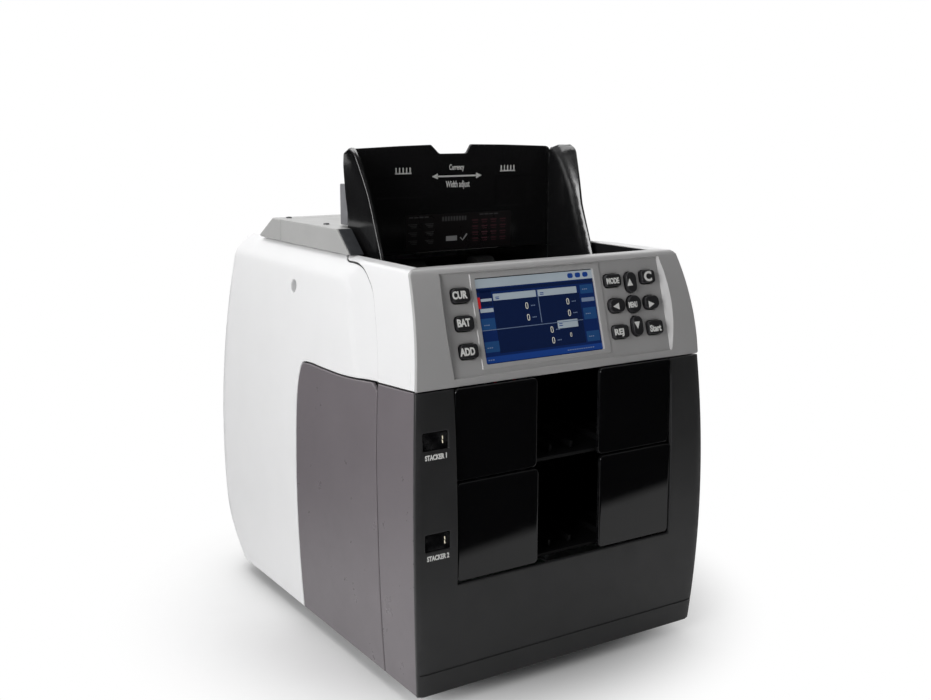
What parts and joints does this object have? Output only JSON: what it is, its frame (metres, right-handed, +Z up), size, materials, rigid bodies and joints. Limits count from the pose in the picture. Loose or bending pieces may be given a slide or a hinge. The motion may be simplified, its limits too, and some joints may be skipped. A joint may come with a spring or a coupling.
{
  "type": "banknote counting machine",
  "caption": "Desktop banknote counter with a top hopper and width guides, sloping screen and key panel, two front stacker pockets and a rear access door.",
  "frame": {"origin": "middle of the bounding box at the underside of the feet", "axes": "+Z up, -Y the front with the control panel and pockets, +X to the right seen from the front"},
  "size_m": [0.274, 0.392, 0.4075],
  "materials": {
    "white_shell": "satin white moulded plastic",
    "light_grey": "light grey moulded plastic",
    "panel_grey": "warm grey fine-textured plastic",
    "side_grey": "mid grey semi-gloss plastic",
    "charcoal": "charcoal satin plastic",
    "gloss_black": "polished black acrylic",
    "hopper_black": "semi-gloss black plastic",
    "key_black": "black key caps",
    "steel": "zinc plated sheet steel",
    "alloy": "plain aluminium case",
    "rubber": "black rubber",
    "roller_grey": "dark grey moulded plastic wheels",
    "screen": "glossy screen face",
    "board_green": "green circuit board"
  },
  "bodies": {
    "chassis": {"base_pan": "steel", "control_panel": "panel_grey", "count_display_lower": "gloss_black", "count_display_upper": "gloss_black", "display_board": "screen", "drive_belt": "rubber", "drive_motor": "steel", "foot_front_left": "rubber", "foot_front_right": "rubber", "foot_rear_left": "rubber", "foot_rear_right": "rubber", "front_bezel": "charcoal", "front_side_panel_left": "side_grey", "front_side_panel_right": "side_grey", "front_wing_left": "white_shell", "front_wing_right": "white_shell", "hopper_back_plate": "gloss_black", "hopper_tray": "hopper_black", "image_sensor": "charcoal", "lower_side_panel_left": "side_grey", "lower_side_panel_right": "side_grey", "main_board": "board_green", "mains_inlet": "charcoal", "pocket_plate_lower_left": "gloss_black", "pocket_plate_lower_right": "gloss_black", "pocket_plate_upper_left": "gloss_black", "pocket_plate_upper_right": "gloss_black", "pocket_tray_lower": "hopper_black", "pocket_tray_upper": "hopper_black", "power_supply": "alloy", "rear_panel": "light_grey", "side_cover_left": "white_shell", "side_cover_right": "white_shell", "side_frame_left": "steel", "side_frame_right": "steel", "top_cover": "light_grey"},
    "guide_left": {"width_guide_left": "hopper_black"},
    "guide_right": {"width_guide_right": "hopper_black"},
    "door": {"rear_door": "light_grey"},
    "switch": {"power_switch": "gloss_black"},
    "pickup_roller_body": {"pickup_roller": "rubber"},
    "feed_roller_body": {"feed_roller": "rubber"},
    "retard_roller_body": {"retard_roller": "rubber"},
    "turn_roller_body": {"turn_roller": "roller_grey"},
    "motor_pulley_body": {"motor_pulley": "steel"},
    "stacker_upper": {"stacker_wheels_upper": "roller_grey"},
    "stacker_lower": {"stacker_wheels_lower": "roller_grey"},
    "diverter": {"diverter_gate": "roller_grey"},
    "key_cur_body": {"key_cur": "key_black"},
    "key_bat_body": {"key_bat": "key_black"},
    "key_add_body": {"key_add": "key_black"},
    "key_mode_body": {"key_mode": "key_black"},
    "key_clear_body": {"key_clear": "key_black"},
    "key_up_body": {"key_up": "key_black"},
    "key_left_body": {"key_left": "key_black"},
    "key_menu_body": {"key_menu": "key_black"},
    "key_right_body": {"key_right": "key_black"},
    "key_reject_body": {"key_reject": "key_black"},
    "key_down_body": {"key_down": "key_black"},
    "key_start_body": {"key_start": "key_black"}
  },
  "joints": [
    {"name": "guide_left_slide", "type": "slide", "parent": "chassis", "child": "guide_left", "axis": [1, 0, 0], "range_m": [0, 0.045]},
    {"name": "guide_right_slide", "type": "slide", "parent": "chassis", "child": "guide_right", "axis": [1, 0, 0], "range_m": [-0.045, 0]},
    {"name": "rear_door_hinge", "type": "hinge", "parent": "chassis", "child": "door", "pos_m": [0, 0.1935, 0.111], "axis": [-1, 0, 0], "range_deg": [0, 75]},
    {"name": "power_switch_rock", "type": "hinge", "parent": "chassis", "child": "switch", "pos_m": [-0.04, 0.1872, 0.078], "axis": [1, 0, 0], "range_deg": [0, 14]},
    {"name": "pickup_roller_spin", "type": "hinge", "parent": "chassis", "child": "pickup_roller_body", "pos_m": [0, -0.09, 0.2784], "axis": [1, 0, 0], "continuous": true},
    {"name": "feed_roller_spin", "type": "hinge", "parent": "chassis", "child": "feed_roller_body", "pos_m": [0, -0.02, 0.271], "axis": [1, 0, 0], "continuous": true},
    {"name": "retard_roller_spin", "type": "hinge", "parent": "chassis", "child": "retard_roller_body", "pos_m": [0, -0.016, 0.2986], "axis": [1, 0, 0], "continuous": true},
    {"name": "turn_roller_spin", "type": "hinge", "parent": "chassis", "child": "turn_roller_body", "pos_m": [0, 0.12, 0.232], "axis": [1, 0, 0], "continuous": true},
    {"name": "motor_pulley_spin", "type": "hinge", "parent": "chassis", "child": "motor_pulley_body", "pos_m": [0, 0.06, 0.1], "axis": [1, 0, 0], "continuous": true},
    {"name": "stacker_upper_spin", "type": "hinge", "parent": "chassis", "child": "stacker_upper", "pos_m": [0, -0.085, 0.208], "axis": [1, 0, 0], "continuous": true},
    {"name": "stacker_lower_spin", "type": "hinge", "parent": "chassis", "child": "stacker_lower", "pos_m": [0, -0.085, 0.13], "axis": [1, 0, 0], "continuous": true},
    {"name": "diverter_swing", "type": "hinge", "parent": "chassis", "child": "diverter", "pos_m": [0, -0.005, 0.19], "axis": [1, 0, 0], "range_deg": [-9, 9], "stiffness_Nm_per_rad": 0.3},
    {"name": "key_cur_press", "type": "slide", "parent": "chassis", "child": "key_cur_body", "axis": [0, 0.9622, -0.2723], "range_m": [0, 0.0012], "stiffness_N_per_m": 1200},
    {"name": "key_bat_press", "type": "slide", "parent": "chassis", "child": "key_bat_body", "axis": [0, 0.9622, -0.2723], "range_m": [0, 0.0012], "stiffness_N_per_m": 1200},
    {"name": "key_add_press", "type": "slide", "parent": "chassis", "child": "key_add_body", "axis": [0, 0.9622, -0.2723], "range_m": [0, 0.0012], "stiffness_N_per_m": 1200},
    {"name": "key_mode_press", "type": "slide", "parent": "chassis", "child": "key_mode_body", "axis": [0, 0.9622, -0.2723], "range_m": [0, 0.0012], "stiffness_N_per_m": 1200},
    {"name": "key_clear_press", "type": "slide", "parent": "chassis", "child": "key_clear_body", "axis": [0, 0.9622, -0.2723], "range_m": [0, 0.0012], "stiffness_N_per_m": 1200},
    {"name": "key_up_press", "type": "slide", "parent": "chassis", "child": "key_up_body", "axis": [0, 0.9622, -0.2723], "range_m": [0, 0.0012], "stiffness_N_per_m": 1200},
    {"name": "key_left_press", "type": "slide", "parent": "chassis", "child": "key_left_body", "axis": [0, 0.9622, -0.2723], "range_m": [0, 0.0012], "stiffness_N_per_m": 1200},
    {"name": "key_menu_press", "type": "slide", "parent": "chassis", "child": "key_menu_body", "axis": [0, 0.9622, -0.2723], "range_m": [0, 0.0012], "stiffness_N_per_m": 1200},
    {"name": "key_right_press", "type": "slide", "parent": "chassis", "child": "key_right_body", "axis": [0, 0.9622, -0.2723], "range_m": [0, 0.0012], "stiffness_N_per_m": 1200},
    {"name": "key_reject_press", "type": "slide", "parent": "chassis", "child": "key_reject_body", "axis": [0, 0.9622, -0.2723], "range_m": [0, 0.0012], "stiffness_N_per_m": 1200},
    {"name": "key_down_press", "type": "slide", "parent": "chassis", "child": "key_down_body", "axis": [0, 0.9622, -0.2723], "range_m": [0, 0.0012], "stiffness_N_per_m": 1200},
    {"name": "key_start_press", "type": "slide", "parent": "chassis", "child": "key_start_body", "axis": [0, 0.9622, -0.2723], "range_m": [0, 0.0012], "stiffness_N_per_m": 1200}
  ],
  "couplings": [
    {"joint": "guide_right_slide", "follows": "guide_left_slide", "ratio": -1},
    {"joint": "motor_pulley_spin", "follows": "turn_roller_spin", "ratio": 1.7778},
    {"joint": "feed_roller_spin", "follows": "turn_roller_spin", "ratio": 2.5333},
    {"joint": "pickup_roller_spin", "follows": "turn_roller_spin", "ratio": 2.9231},
    {"joint": "retard_roller_spin", "follows": "turn_roller_spin", "ratio": 0.3},
    {"joint": "stacker_upper_spin", "follows": "turn_roller_spin", "ratio": -0.6},
    {"joint": "stacker_lower_spin", "follows": "turn_roller_spin", "ratio": -0.6}
  ]
}
